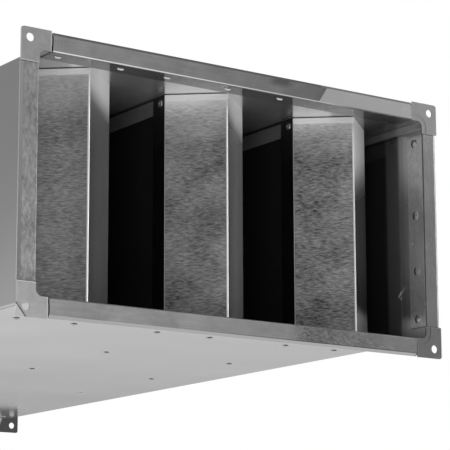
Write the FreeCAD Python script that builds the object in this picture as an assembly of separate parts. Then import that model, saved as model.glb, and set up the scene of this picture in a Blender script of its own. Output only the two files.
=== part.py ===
import FreeCAD, Part
import math
import os

# Duct sound attenuator: a rectangular sheet-metal duct length with a bolted
# flange at each mouth and a row of sound-absorbing splitters standing inside.
# X runs across the width, Y along the airflow from the front mouth, Z up.
# The origin is the centre of the front mating face. Sizes are in millimetres.

Vector = FreeCAD.Vector

# Duct casing
duct_width = 500.0
duct_height = 250.0
overall_length = 950.0
casing_sheet = 0.8
casing_bend_radius = 1.6
casing_end_clearance = 0.4

# Seam along the two closing edges of the casing
seam_flange_height = 9.2
seam_flap_length = 5.9
seam_flap_swell = 0.85
seam_gap = 0.1
seam_fold_radius = 0.45

# Flange rails
rail_height = 19.5
rail_sheet = 0.9
rail_flat_height = 16.4
rail_bevel_depth = 1.8
rail_rim_depth = 1.2
rail_web_foot = 16.5
rail_leg_depth = 27.0
rail_bend_radius = 1.1
rail_fit = 0.05
rail_gap_left = 2.4
rail_gap_right = 0.3
rail_gap_side = 0.25

# Corner plates
plate_sheet = 1.5
plate_leg = 35.0
plate_overhang = 0.9
plate_proud = 0.6
plate_outer_radius = 3.5
plate_inner_radius = 7.0
plate_step_width = 6.0
plate_step_depth = 0.5
plate_arm_length = 20.0
plate_arm_near = 5.0
plate_arm_far = 14.6
plate_arm_lap = 7.0
plate_joggle_inset = 0.6
plate_joggle_length = 2.4
plate_arm_clearance = 0.05

# Bolt holes of both flanges, out from the duct's inner faces
bolt_hole_diameter = 9.0
bolt_hole_offset = 10.0

# Bent corner of the front plate at the bottom left
bent_corner_width = 10.5
bent_corner_height = 13.0
bent_corner_angle = 35.0

# Splitters
splitter_count = 3
splitter_wall_gap = 27.0
core_thickness = 100.0
core_end_gap = 2.0
core_top_gap = 0.3
splitter_floor_gap = 0.1
splitter_ceiling_gap = 0.8
frame_sheet = 0.7
frame_fit = 0.05
channel_flange = 18.0
channel_bend_radius = 0.9
channel_end_gap = 2.5

# Folded V noses
nose_clearance = 2.7
nose_length = 43.8
nose_tip_radius = 2.0
nose_shoulder_radius = 1.2
nose_side_flange = 22.5
nose_band_height = 6.0
nose_band_ear = 1.5

# Blind rivets
rivet_head_diameter = 8.0
rivet_crown_diameter = 4.4
rivet_head_height = 1.3
rivet_head_sides = 8
frame_rivet_inset_y = 8.0
frame_rivet_inset_z = 7.5
casing_rivet_pair_inset_y = 45.0
casing_rivet_pair_inset_x = 15.5
casing_rivet_first_y = 279.0
casing_rivet_pitch = 169.5
casing_rivet_singles = 4
casing_rivet_row_offset = 5.0

# Planes and levels that several pieces share
half_width = duct_width / 2
half_height = duct_height / 2
middle_y = overall_length / 2
rail_face_back = plate_proud + rail_sheet
casing_end_y = plate_step_depth + plate_sheet + casing_end_clearance
splitter_bottom = -half_height + splitter_floor_gap
splitter_top = half_height - splitter_ceiling_gap
nose_vertex_y = rail_leg_depth + nose_clearance
nose_shoulder_y = nose_vertex_y + nose_length
channel_mid_half = core_thickness / 2 + frame_fit + frame_sheet / 2
nose_mid_half = channel_mid_half + frame_sheet + frame_fit
nose_outer_half = nose_mid_half + frame_sheet / 2
channel_start_y = nose_shoulder_y + channel_end_gap


# Folded sheet sections

def unit(start, end):
    dx = end[0] - start[0]
    dy = end[1] - start[1]
    size = math.hypot(dx, dy)
    return dx / size, dy / size


def offset_path(points, radii, offset):
    """Lines and arcs beside a bent mid-line, offset to its left: [(kind, start, middle, end)].

    A bend of radius 0 is a sharp mitre.
    """
    pieces = []
    first = unit(points[0], points[1])
    here = (points[0][0] - first[1] * offset, points[0][1] + first[0] * offset)
    for before, corner, after, radius in zip(points, points[1:], points[2:], radii):
        way_in = unit(before, corner)
        way_out = unit(corner, after)
        if radius == 0:
            mitre = offset / (1 + way_in[0] * way_out[0] + way_in[1] * way_out[1])
            bend = (corner[0] - (way_in[1] + way_out[1]) * mitre,
                    corner[1] + (way_in[0] + way_out[0]) * mitre)
            pieces.append(("line", here, None, bend))
            here = bend
            continue
        turn = math.atan2(way_in[0] * way_out[1] - way_in[1] * way_out[0],
                          way_in[0] * way_out[0] + way_in[1] * way_out[1])
        side = math.copysign(1.0, turn)
        tangent = radius * math.tan(abs(turn) / 2)
        centre = (corner[0] - way_in[0] * tangent - way_in[1] * radius * side,
                  corner[1] - way_in[1] * tangent + way_in[0] * radius * side)
        reach = radius - offset * side
        angle_in = math.atan2(-way_in[0] * side, way_in[1] * side)
        arc = []
        for share in (0.0, 0.5, 1.0):
            angle = angle_in + turn * share
            arc.append((centre[0] + reach * math.cos(angle), centre[1] + reach * math.sin(angle)))
        pieces.append(("line", here, None, arc[0]))
        pieces.append(("arc", arc[0], arc[1], arc[2]))
        here = arc[2]
    last = unit(points[-2], points[-1])
    end = (points[-1][0] - last[1] * offset, points[-1][1] + last[0] * offset)
    pieces.append(("line", here, None, end))
    return pieces


def path_edges(pieces, place):
    edges = []
    for kind, start, middle, end in pieces:
        if math.dist(start, end) < 1e-6:
            continue
        if kind == "arc":
            edges.append(Part.Arc(place(*start), place(*middle), place(*end)).toShape())
        else:
            edges.append(Part.LineSegment(place(*start), place(*end)).toShape())
    return edges


def closed_face(edges):
    return Part.Face(Part.Wire(Part.__sortEdges__(edges)))


def folded_section(points, radii, sheet, place):
    """Face of a sheet folded along a mid-line. place turns section coordinates into a point."""
    left = offset_path(points, radii, sheet / 2)
    right = offset_path(points, radii, -sheet / 2)
    edges = path_edges(left, place) + path_edges(right, place)
    edges.append(Part.LineSegment(place(*left[0][1]), place(*right[0][1])).toShape())
    edges.append(Part.LineSegment(place(*left[-1][3]), place(*right[-1][3])).toShape())
    return closed_face(edges)


def box(x_range, y_range, z_range):
    size = [high - low for low, high in (x_range, y_range, z_range)]
    return Part.makeBox(*size, Vector(x_range[0], y_range[0], z_range[0]))


# Placing copies

def mirrored_x(shape):
    return shape.mirror(Vector(0, 0, 0), Vector(1, 0, 0))


def mirrored_z(shape):
    return shape.mirror(Vector(0, 0, 0), Vector(0, 0, 1))


def to_rear(shape):
    return shape.mirror(Vector(0, middle_y, 0), Vector(0, 1, 0))


def half_turn(shape, point, axis):
    copy = shape.copy()
    copy.rotate(point, axis, 180)
    return copy


# Casing: an L-shaped sheet. One edge stands inside the other sheet's wall as a flange, and the
# other edge is turned over that sheet's outside as a flap.

def casing_sheet_left_top():
    layer = casing_sheet + seam_gap
    wall_x = -half_width - casing_sheet / 2
    top_z = half_height + casing_sheet / 2
    flap_z = -half_height - casing_sheet / 2 - layer
    flange_x = -wall_x - layer
    points = [
        (wall_x + seam_flap_length, flap_z),
        (wall_x, flap_z - seam_flap_swell),
        (wall_x, top_z),
        (flange_x, top_z),
        (flange_x, half_height + casing_sheet - seam_flange_height),
    ]
    radii = [seam_fold_radius + layer, casing_bend_radius, seam_fold_radius]
    face = folded_section(points, radii, casing_sheet, lambda a, b: Vector(a, casing_end_y, b))
    return face.extrude(Vector(0, overall_length - 2 * casing_end_y, 0))


# Flange rails

def rail_section():
    """Mid-line of a rail: outward from the duct's inner face, and deep from the mating face."""
    face = plate_proud + rail_sheet / 2
    inner_leg = -rail_fit - rail_sheet / 2
    outer_leg = casing_sheet + rail_fit + rail_sheet / 2
    rim = rail_height - rail_sheet / 2
    bevel_end = face + rail_bevel_depth
    points = [
        (inner_leg, rail_leg_depth),
        (inner_leg, face),
        (rail_flat_height, face),
        (rim, bevel_end),
        (rim, bevel_end + rail_rim_depth),
        (outer_leg, rail_web_foot),
        (outer_leg, rail_leg_depth),
    ]
    return points, [rail_bend_radius] * 2 + [0, 0, 0]


def top_rail():
    points, radii = rail_section()
    start_x = -half_width - rail_height - plate_overhang + plate_leg + rail_gap_left
    end_x = half_width + rail_height + plate_overhang - plate_leg - rail_gap_right
    face = folded_section(points, radii, rail_sheet, lambda a, b: Vector(start_x, b, half_height + a))
    return face.extrude(Vector(end_x - start_x, 0, 0))


def right_rail():
    points, radii = rail_section()
    end_z = half_height + rail_height + plate_overhang - plate_leg - rail_gap_side
    face = folded_section(points, radii, rail_sheet, lambda a, b: Vector(half_width + a, b, -end_z))
    return face.extrude(Vector(0, 0, 2 * end_z))


# Corner plates: drawn at the top left, with inward distances from the plate's outer corner

plate_corner_x = -half_width - rail_height - plate_overhang
plate_corner_z = half_height + rail_height + plate_overhang
plate_edge = rail_height + plate_overhang + rail_fit + rail_sheet


def plate_point(across, down, depth):
    return Vector(plate_corner_x + across, depth, plate_corner_z - down)


def ell_outline(edge, inner_radius, depth):
    """Face of the plate's L shape, up to an inner contour that far from the outer edges."""
    outer = plate_outer_radius
    slope = 1 - math.sqrt(0.5)
    inner = inner_radius * slope
    arm_end = plate_leg
    lines = [
        ((outer, 0), (arm_end, 0)),
        ((arm_end, 0), (arm_end, edge)),
        ((arm_end, edge), (edge + inner_radius, edge)),
        ((edge, edge + inner_radius), (edge, arm_end)),
        ((edge, arm_end), (0, arm_end)),
        ((0, arm_end), (0, outer)),
    ]
    arcs = [
        ((edge + inner_radius, edge), (edge + inner, edge + inner), (edge, edge + inner_radius)),
        ((0, outer), (outer * slope, outer * slope), (outer, 0)),
    ]
    edges = []
    for start, end in lines:
        edges.append(Part.LineSegment(plate_point(*start, depth), plate_point(*end, depth)).toShape())
    for start, middle, end in arcs:
        corners = [plate_point(*corner, depth) for corner in (start, middle, end)]
        edges.append(Part.Arc(*corners).toShape())
    return closed_face(edges)


def plate_arm():
    """Joggled tongue that tucks behind the top rail's face."""
    shown = plate_sheet / 2
    tucked = rail_face_back + plate_arm_clearance + plate_sheet / 2
    joggle_end = plate_leg - plate_joggle_inset
    points = [
        (plate_leg - plate_arm_lap, shown),
        (joggle_end - plate_joggle_length, shown),
        (joggle_end, tucked),
        (plate_leg + plate_arm_length, tucked),
    ]
    face = folded_section(points, [0, 0], plate_sheet,
                          lambda a, b: plate_point(a, plate_arm_near, b))
    return face.extrude(Vector(0, 0, -(plate_arm_far - plate_arm_near)))


def swapped_arm(arm):
    """The same tongue turned about the plate's diagonal, for the side rail."""
    corner = plate_point(0, 0, 0)
    return arm.mirror(corner, Vector(1, 0, 1))


def corner_plate(bent=False):
    step_edge = plate_edge - plate_step_width
    step_radius = plate_inner_radius + plate_step_width
    whole = ell_outline(plate_edge, plate_inner_radius, 0)
    raised = ell_outline(step_edge, step_radius, 0)
    strip = whole.cut(raised)
    strip.translate(Vector(0, plate_step_depth, 0))
    arm = plate_arm()
    plate = raised.extrude(Vector(0, plate_sheet, 0))
    plate = plate.fuse([strip.extrude(Vector(0, plate_sheet, 0)), arm, swapped_arm(arm)])
    hole_inset = rail_height + plate_overhang - bolt_hole_offset
    hole = Part.makeCylinder(bolt_hole_diameter / 2, 3 * plate_sheet,
                             plate_point(hole_inset, hole_inset, -plate_sheet), Vector(0, 1, 0))
    plate = plate.cut(hole)
    if bent:
        plate = bend_corner(plate)
    return plate.removeSplitter()


def bend_corner(plate):
    """Folds the plate's outer corner back about a line across it."""
    fold_start = plate_point(0, bent_corner_height, plate_sheet)
    fold_end = plate_point(bent_corner_width, 0, plate_sheet)
    along = fold_end - fold_start
    aside = plate_leg
    cutter = Part.Face(Part.makePolygon([
        plate_point(0, bent_corner_height, 0) - along,
        plate_point(bent_corner_width, 0, 0) + along,
        plate_point(-aside, -aside, 0) + along,
        plate_point(-aside, -aside, 0) - along,
        plate_point(0, bent_corner_height, 0) - along,
    ])).extrude(Vector(0, plate_sheet, 0))
    flap = plate.common(cutter)
    rest = plate.cut(cutter)
    flap.rotate(fold_start, along, -bent_corner_angle)
    edge = Part.Face(Part.makePolygon([
        plate_point(0, bent_corner_height, 0),
        fold_start,
        fold_end,
        plate_point(bent_corner_width, 0, 0),
        plate_point(0, bent_corner_height, 0),
    ]))
    wedge = edge.revolve(fold_start, along, -bent_corner_angle)
    reach = plate_leg + plate_arm_length
    outline = box((plate_corner_x, plate_corner_x + reach), (0, reach),
                  (plate_corner_z - reach, plate_corner_z))
    return rest.fuse([wedge, flap]).common(outline)


# Splitters

def splitter_centres():
    first = -half_width + splitter_wall_gap + core_thickness / 2
    pitch = -2 * first / (splitter_count - 1)
    return [first + pitch * index for index in range(splitter_count)]


def channel(centre_x, top):
    """Frame channel along the splitter, with its flanges over the slab's faces."""
    level = splitter_top - frame_sheet / 2 if top else splitter_bottom + frame_sheet / 2
    toe = splitter_top - channel_flange if top else splitter_bottom + channel_flange
    points = [
        (centre_x - channel_mid_half, toe),
        (centre_x - channel_mid_half, level),
        (centre_x + channel_mid_half, level),
        (centre_x + channel_mid_half, toe),
    ]
    face = folded_section(points, [channel_bend_radius] * 2, frame_sheet,
                          lambda a, b: Vector(a, channel_start_y, b))
    return face.extrude(Vector(0, overall_length - 2 * channel_start_y, 0))


def wool_core(centre_x):
    """Absorbent slab, with its long edges eased to clear the channels' bends."""
    half = core_thickness / 2
    low_z = splitter_bottom + frame_sheet + frame_fit
    high_z = splitter_top - frame_sheet - core_top_gap
    start_y = channel_start_y + core_end_gap
    ease = channel_bend_radius
    corners = []
    for side, level, way in ((-1, low_z, 1), (1, low_z, 1), (1, high_z, -1), (-1, high_z, -1)):
        along = Vector(centre_x + side * (half - ease), start_y, level)
        upright = Vector(centre_x + side * half, start_y, level + way * ease)
        corners.extend([upright, along] if side * way < 0 else [along, upright])
    corners.append(corners[0])
    return Part.Face(Part.makePolygon(corners)).extrude(Vector(0, overall_length - 2 * start_y, 0))


def front_nose(centre_x):
    """V nose folded from one sheet, with closing tabs lapped over its left face."""
    left = centre_x - nose_mid_half
    right = centre_x + nose_mid_half
    flange_end = nose_shoulder_y + nose_side_flange
    points = [
        (left, flange_end),
        (left, nose_shoulder_y),
        (centre_x, nose_vertex_y),
        (right, nose_shoulder_y),
        (right, flange_end),
    ]
    radii = [nose_shoulder_radius, nose_tip_radius, nose_shoulder_radius]
    low_z = splitter_bottom + frame_sheet
    high_z = splitter_top - frame_sheet
    face = folded_section(points, radii, frame_sheet, lambda a, b: Vector(a, b, low_z))
    nose = face.extrude(Vector(0, 0, high_z - low_z))
    pieces = []
    for tab_z, band_z in ((splitter_bottom, splitter_bottom),
                          (high_z, splitter_top - nose_band_height)):
        pieces.append(nose_tab(centre_x, tab_z))
        pieces.append(nose_band(centre_x, band_z))
    return nose.fuse(pieces).removeSplitter()


def nose_tab(centre_x, level):
    """Triangular tab that closes the nose's end."""
    points = [
        (centre_x - nose_mid_half, nose_shoulder_y),
        (centre_x, nose_vertex_y),
        (centre_x + nose_mid_half, nose_shoulder_y),
    ]
    outline = offset_path(points, [nose_tip_radius], -frame_sheet / 2)
    edges = path_edges(outline, lambda a, b: Vector(a, b, level))
    edges.append(Part.LineSegment(edges[0].Vertexes[0].Point, edges[-1].Vertexes[-1].Point).toShape())
    return closed_face(edges).extrude(Vector(0, 0, frame_sheet))


def nose_band(centre_x, level):
    """Edge of the tab turned over the outside of the nose's left face."""
    way = unit((centre_x - nose_mid_half, nose_shoulder_y), (centre_x, nose_vertex_y))
    start = (centre_x - nose_mid_half, nose_shoulder_y)
    end = (centre_x + way[0] * nose_band_ear, nose_vertex_y + way[1] * nose_band_ear)
    corners = []
    for corner, offset in ((start, -frame_sheet / 2), (end, -frame_sheet / 2),
                           (end, -frame_sheet * 1.5), (start, -frame_sheet * 1.5)):
        corners.append(Vector(corner[0] - way[1] * offset, corner[1] + way[0] * offset, level))
    corners.append(corners[0])
    return Part.Face(Part.makePolygon(corners)).extrude(Vector(0, 0, nose_band_height))


# Rivet heads

def rivet_head(seat, outward):
    """Low head with flats that sits on a sheet, facing outward."""
    rings = []
    for diameter, height in ((rivet_head_diameter, 0), (rivet_crown_diameter, rivet_head_height)):
        corners = []
        for index in range(rivet_head_sides + 1):
            angle = 2 * math.pi * index / rivet_head_sides
            corners.append(Vector(math.cos(angle) * diameter / 2, math.sin(angle) * diameter / 2, height))
        rings.append(corners)
    foot, crown = rings
    outlines = [foot, crown]
    for index in range(rivet_head_sides):
        outlines.append([foot[index], foot[index + 1], crown[index + 1], crown[index], foot[index]])
    head = Part.Solid(Part.Shell([Part.Face(Part.makePolygon(outline)) for outline in outlines]))
    head.Placement = FreeCAD.Placement(seat, FreeCAD.Rotation(Vector(0, 0, 1), outward))
    return head


def frame_rivets(centre_x):
    """Rivets through both side flanges of both noses into the channels."""
    heads = []
    front_y = nose_shoulder_y + frame_rivet_inset_y
    for seat_y in (front_y, overall_length - front_y):
        for seat_z in (splitter_bottom + frame_rivet_inset_z, splitter_top - frame_rivet_inset_z):
            for side in (-1, 1):
                seat = Vector(centre_x + side * nose_outer_half, seat_y, seat_z)
                heads.append(rivet_head(seat, Vector(side, 0, 0)))
    return Part.makeCompound(heads)


def casing_rivets(side):
    """Rivets through the casing's top (side 1) or bottom (side -1) into the channels."""
    level = side * (half_height + casing_sheet)
    pair_x = core_thickness / 2 - casing_rivet_pair_inset_x
    pair_y = channel_start_y + casing_rivet_pair_inset_y
    heads = []
    for centre_x in splitter_centres():
        row_x = centre_x + casing_rivet_row_offset
        places = []
        for seat_y in (pair_y, overall_length - pair_y):
            for way in (-1, 1):
                places.append((row_x + way * pair_x, seat_y))
        for index in range(casing_rivet_singles):
            places.append((row_x, casing_rivet_first_y + index * casing_rivet_pitch))
        for seat_x, seat_y in places:
            heads.append(rivet_head(Vector(seat_x, seat_y, level), Vector(0, 0, side)))
    return Part.makeCompound(heads)


# The whole part, one shape for each node

def build():
    nodes = {}
    sheet = casing_sheet_left_top()
    nodes["casing_sheet_left_top"] = sheet
    nodes["casing_sheet_right_bottom"] = half_turn(sheet, Vector(0, 0, 0), Vector(0, 1, 0))

    top = top_rail()
    right = right_rail()
    rails = {"top": top, "bottom": mirrored_z(top), "left": mirrored_x(right), "right": right}
    for side, rail in rails.items():
        nodes["front_rail_" + side] = rail
        nodes["rear_rail_" + side] = to_rear(rail)

    plate = corner_plate()
    plates = {
        "top_left": plate,
        "top_right": mirrored_x(plate),
        "bottom_left": mirrored_z(plate),
        "bottom_right": mirrored_x(mirrored_z(plate)),
    }
    for corner, shape in plates.items():
        nodes["front_corner_" + corner] = shape
        nodes["rear_corner_" + corner] = to_rear(shape)
    nodes["front_corner_bottom_left"] = mirrored_z(corner_plate(bent=True))

    for index, centre_x in enumerate(splitter_centres()):
        name = "splitter_%d_" % (index + 1)
        nose = front_nose(centre_x)
        nodes[name + "wool_core"] = wool_core(centre_x)
        nodes[name + "top_channel"] = channel(centre_x, top=True)
        nodes[name + "bottom_channel"] = channel(centre_x, top=False)
        nodes[name + "front_nose"] = nose
        nodes[name + "rear_nose"] = half_turn(nose, Vector(centre_x, middle_y, 0), Vector(0, 0, 1))
        nodes[name + "frame_rivets"] = frame_rivets(centre_x)
    nodes["casing_rivets_top"] = casing_rivets(1)
    nodes["casing_rivets_bottom"] = casing_rivets(-1)
    return nodes


os.makedirs("parts", exist_ok=True)
for node, shape in build().items():
    shape.exportStep("parts/" + node + ".step")
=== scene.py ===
import math

import bmesh
import bpy
from mathutils import Matrix, Vector


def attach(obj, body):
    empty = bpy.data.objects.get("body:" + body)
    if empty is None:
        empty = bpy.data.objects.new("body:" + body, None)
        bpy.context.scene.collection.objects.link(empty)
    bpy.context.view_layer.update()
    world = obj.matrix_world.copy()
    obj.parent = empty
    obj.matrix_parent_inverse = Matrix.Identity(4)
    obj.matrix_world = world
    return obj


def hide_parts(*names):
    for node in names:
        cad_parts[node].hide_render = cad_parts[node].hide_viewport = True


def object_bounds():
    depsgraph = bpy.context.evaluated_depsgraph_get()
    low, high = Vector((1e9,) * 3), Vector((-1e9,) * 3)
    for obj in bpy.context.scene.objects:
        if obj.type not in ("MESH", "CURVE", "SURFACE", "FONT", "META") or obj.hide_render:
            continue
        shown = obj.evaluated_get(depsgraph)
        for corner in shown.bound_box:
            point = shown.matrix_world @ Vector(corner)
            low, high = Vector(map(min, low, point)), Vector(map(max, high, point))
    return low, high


# Looks of the duct sound attenuator. Metres, in the row's own frame: X across, Y along the
# airflow from the front mouth, Z up, origin at the centre of the front mating face.

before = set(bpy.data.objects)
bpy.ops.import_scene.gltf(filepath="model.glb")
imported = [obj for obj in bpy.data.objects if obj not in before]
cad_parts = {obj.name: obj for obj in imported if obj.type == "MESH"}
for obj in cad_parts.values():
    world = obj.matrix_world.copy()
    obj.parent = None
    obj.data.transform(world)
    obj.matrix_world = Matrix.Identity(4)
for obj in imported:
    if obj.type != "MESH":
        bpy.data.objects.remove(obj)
cad_low, cad_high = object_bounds()
scene = bpy.context.scene

MM = 0.001
FLANGE_HALF_WIDTH = round(cad_high.x, 4)
FLANGE_HALF_HEIGHT = round(cad_high.z, 4)
LENGTH = round(cad_high.y, 4)
FLANGE_REACH = 0.0204
HALF_WIDTH = FLANGE_HALF_WIDTH - FLANGE_REACH
HALF_HEIGHT = FLANGE_HALF_HEIGHT - FLANGE_REACH
CASING_SHEET = 0.0008
RAIL_LEG_FACE = 0.00095
PITCH = 0.173
SPLITTERS = (-PITCH, 0.0, PITCH)
FIRST_GAP = (-0.1, -0.05)
SECOND_GAP = (0.1, 0.12)
NOSE_TIP = 0.0297
NOSE_SHOULDER = 0.0735
NOSE_HALF_WIDTH = 0.0515

# A ramp is a start, an end and its values there. An edge is where a mask is 0 and where it is 1.
WALL_FOOT_RAMP = (-0.122, -0.106, 0.4, 1.0)


# Node helpers

class Graph:
    """A material's node tree, with short calls for the nodes that the finishes share."""

    def __init__(self, name):
        self.material = bpy.data.materials.new(name)
        self.material.use_nodes = True
        self.tree = self.material.node_tree
        self.tree.nodes.clear()
        self.shader = self.node("BsdfPrincipled")
        self.out = self.node("OutputMaterial")
        self.tree.links.new(self.shader.outputs[0], self.out.inputs[0])
        self.place = self.node("TexCoord").outputs["Object"]
        self.x, self.y, self.z = self.split(self.place)
        normal = self.node("NewGeometry").outputs["True Normal"]
        self.normal_x, self.normal_y, self.normal_z = self.split(normal)

    def node(self, kind):
        return self.tree.nodes.new("ShaderNode" + kind)

    def feed(self, socket, value):
        if isinstance(value, bpy.types.NodeSocket):
            self.tree.links.new(value, socket)
        elif value is not None:
            socket.default_value = value

    def split(self, vector):
        node = self.node("SeparateXYZ")
        self.feed(node.inputs[0], vector)
        return node.outputs

    def math(self, kind, *values):
        node = self.node("Math")
        node.operation = kind
        for socket, value in zip(node.inputs, values):
            self.feed(socket, value)
        return node.outputs[0]

    def chain(self, kind, first, *others):
        """One kind of sum over any number of values, two at a time."""
        for value in others:
            first = self.math(kind, first, value)
        return first

    def add(self, *values):
        return self.chain("ADD", *values)

    def times(self, *values):
        return self.chain("MULTIPLY", *values)

    def most(self, *values):
        return self.chain("MAXIMUM", *values)

    def least(self, *values):
        return self.chain("MINIMUM", *values)

    def minus(self, first, second):
        return self.math("SUBTRACT", first, second)

    def above(self, value, limit):
        return self.math("GREATER_THAN", value, limit)

    def below(self, value, limit):
        return self.math("LESS_THAN", value, limit)

    def size(self, value):
        return self.math("ABSOLUTE", value)

    def span(self, value, low, high, to_low, to_high):
        """The range from low to high, carried to that from to_low to to_high and held at its ends."""
        node = self.node("MapRange")
        for socket, number in zip(node.inputs, (value, low, high, to_low, to_high)):
            self.feed(socket, number)
        return node.outputs[0]

    def fade(self, value, start, end):
        """A share that is 0 at start and 1 at end."""
        return self.span(value, start, end, 0.0, 1.0)

    def mix(self, share, low, high):
        return self.span(share, 0.0, 1.0, low, high)

    def spread(self, noise, low, high):
        """A noise, whose values lie mostly between 0.3 and 0.7, carried to low and high."""
        return self.span(noise, 0.3, 0.7, low, high)

    def ease(self, share):
        """The same share with soft ends."""
        return self.times(share, share, self.minus(3.0, self.times(share, 2.0)))

    def from_splitter(self, place):
        """Signed distance across the airway from the middle of the nearest splitter."""
        middle = self.times(self.math("ROUND", self.times(place, 1 / PITCH)), PITCH)
        return self.minus(place, middle)

    def by_splitter(self, first, second, third):
        """A number for each of the three splitters, from left to right, that changes in the gaps."""
        left = self.span(self.x, *FIRST_GAP, first, second)
        return self.add(left, self.span(self.x, *SECOND_GAP, 0.0, third - second))

    def from_mouth(self):
        """Distance along the airflow from the nearer mouth."""
        return self.least(self.y, self.minus(LENGTH, self.y))

    def foot_tone(self):
        """Shade on the lowest part of a wall of the airway."""
        return self.span(self.z, *WALL_FOOT_RAMP)

    def ramps(self, value, *ramps):
        """Product of several ramps over one value."""
        return self.times(*(self.span(value, *ramp) for ramp in ramps))

    def scaled(self, scale, vector=None, turn=(0, 0, 0)):
        node = self.node("Mapping")
        self.feed(node.inputs["Vector"], vector or self.place)
        node.inputs["Scale"].default_value = scale
        node.inputs["Rotation"].default_value = turn
        return node.outputs[0]

    def noise(self, vector=None, scale=1.0, detail=3.0, rough=0.5, distort=0.0):
        node = self.node("TexNoise")
        self.feed(node.inputs["Vector"], vector or self.place)
        node.inputs["Scale"].default_value = scale
        node.inputs["Detail"].default_value = detail
        node.inputs["Roughness"].default_value = rough
        node.inputs["Distortion"].default_value = distort
        return node.outputs["Fac"]

    def grey(self, value):
        node = self.node("CombineColor")
        for socket in node.inputs[:3]:
            self.feed(socket, value)
        return node.outputs[0]

    def bump(self, height, strength, distance):
        node = self.node("Bump")
        node.inputs["Strength"].default_value = strength
        node.inputs["Distance"].default_value = distance
        self.feed(node.inputs["Height"], height)
        return node.outputs[0]

    def finish(self, value, metallic, roughness, normal=None):
        self.feed(self.shader.inputs["Base Color"], self.grey(value))
        self.feed(self.shader.inputs["Metallic"], metallic)
        self.feed(self.shader.inputs["Roughness"], roughness)
        self.feed(self.shader.inputs["Normal"], normal)
        return self.material


# Finishes

def sheet_metal(graph, value, rough, normal=None, metallic=0.85):
    graph.shader.inputs["IOR"].default_value = 1.6
    return graph.finish(value, metallic, rough, normal)


WALL_SHADE_RAMP = (0.033, 0.037, 1.0, 0.8)
SCRATCH_WIDTH = 0.0015
SCRATCHES = (
    ((0.0484, -0.0724), (0.0420, -0.0640), 0.7),
    ((0.0445, -0.0700), (0.0350, -0.0590), 0.35),
    ((0.0445, -0.0745), (0.0420, -0.0710), 0.6),
)


def stroke(graph, start, end, strength):
    """Mask of a scratch from start to end, both (y, z)."""
    length = math.hypot(end[0] - start[0], end[1] - start[1])
    way = ((end[0] - start[0]) / length, (end[1] - start[1]) / length)
    back = graph.minus(graph.y, (start[0] + end[0]) / 2)
    up = graph.minus(graph.z, (start[1] + end[1]) / 2)
    along = graph.size(graph.add(graph.times(back, way[0]), graph.times(up, way[1])))
    across = graph.size(graph.minus(graph.times(up, way[0]), graph.times(back, way[1])))
    return graph.times(graph.span(along, length * 0.3, length * 0.5, strength, 0.0),
                       graph.fade(across, SCRATCH_WIDTH, SCRATCH_WIDTH * 0.3))


CEILING_SLANT_RAMP = (-0.22, 0.13, 0.567, 0.762)
CEILING_TONE_RAMP = (-0.09, 0.09, 1.25, 0.78)
CEILING_DEPTH_RAMPS = ((0.06, 0.2, 1.0, 0.5), (0.13, 0.19, 1.0, 0.35))
CEILING_CORNER_RAMP = (0.2, 0.225, 1.0, 0.45)
LIT_DEPTH_EDGE = (0.09, 0.06)
LIT_LEFT_EDGE = (-0.053, -0.0505)
LIT_RIGHT_EDGE = (0.0535, 0.051)
RIGHT_OF_TIP_EDGE = (-0.001, 0.006)
FIRST_NOSE_END = (-0.12, -0.05)
THIRD_NOSE_START = 0.15


def ceiling_tone(graph):
    """Light on the inside of the casing's top: bright above each nose, and dark deep in the airway."""
    slope = graph.span(graph.x, *CEILING_SLANT_RAMP)
    slanted = graph.add(graph.x, graph.times(slope, graph.minus(NOSE_SHOULDER, graph.y)))
    spot = graph.from_splitter(slanted)
    above_nose = graph.times(graph.fade(graph.y, *LIT_DEPTH_EDGE), graph.fade(spot, *LIT_LEFT_EDGE),
                             graph.fade(spot, *LIT_RIGHT_EDGE))
    right_of_tip = graph.fade(spot, *RIGHT_OF_TIP_EDGE)
    lit = graph.span(graph.x, *FIRST_NOSE_END, graph.mix(right_of_tip, 0.82, 1.5), 1.36)
    past_third = graph.times(graph.above(slanted, THIRD_NOSE_START), right_of_tip)
    lit = graph.times(lit, graph.mix(past_third, 1.0, 0.5))
    tone = graph.mix(above_nose, graph.span(graph.x, *CEILING_TONE_RAMP), lit)
    deep = graph.ramps(graph.y, *CEILING_DEPTH_RAMPS)
    return graph.times(tone, deep, graph.span(graph.x, *CEILING_CORNER_RAMP))


def casing_sheet(name):
    """Plain galvanised sheet outside, and the lining of the airway, with scratches on its walls."""
    graph = Graph(name)
    cloud = graph.noise(scale=7.0)
    grain = graph.noise(graph.scaled((700, 90, 700)), detail=2.0)
    wave = graph.noise(scale=5.0, detail=1.0, rough=0.4)
    half_sheet = CASING_SHEET / 2
    across = graph.size(graph.x)
    lining = graph.times(graph.below(across, HALF_WIDTH + half_sheet),
                         graph.below(graph.size(graph.z), HALF_HEIGHT + half_sheet))
    wall = graph.times(lining, graph.above(across, HALF_WIDTH - half_sheet))
    ceiling = graph.times(lining, graph.above(graph.z, HALF_HEIGHT - half_sheet))
    wall_tone = graph.times(graph.span(graph.y, *WALL_SHADE_RAMP), graph.foot_tone())
    value = graph.add(graph.spread(cloud, 0.64, 0.67), graph.spread(grain, -0.006, 0.006))
    # Painted light on the ceiling of the airway, and painted shade on its walls.
    value = graph.times(value, graph.mix(ceiling, 1.0, ceiling_tone(graph)), graph.mix(wall, 1.0, wall_tone))
    strokes = [stroke(graph, *scratch) for scratch in SCRATCHES]
    scratched = graph.times(wall, graph.least(graph.add(*strokes), 1.0))
    value = graph.mix(scratched, value, 0.95)
    rough = graph.times(graph.spread(cloud, 0.15, 0.12), graph.mix(lining, 1.0, 1.5),
                        graph.mix(wall, 1.0, 0.6))
    metallic = graph.add(graph.mix(lining, 0.85, 0.78), graph.times(wall, 0.19))
    metallic = graph.mix(scratched, metallic, 0.2)
    return sheet_metal(graph, value, rough, graph.bump(wave, strength=0.15, distance=0.004), metallic)


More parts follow.
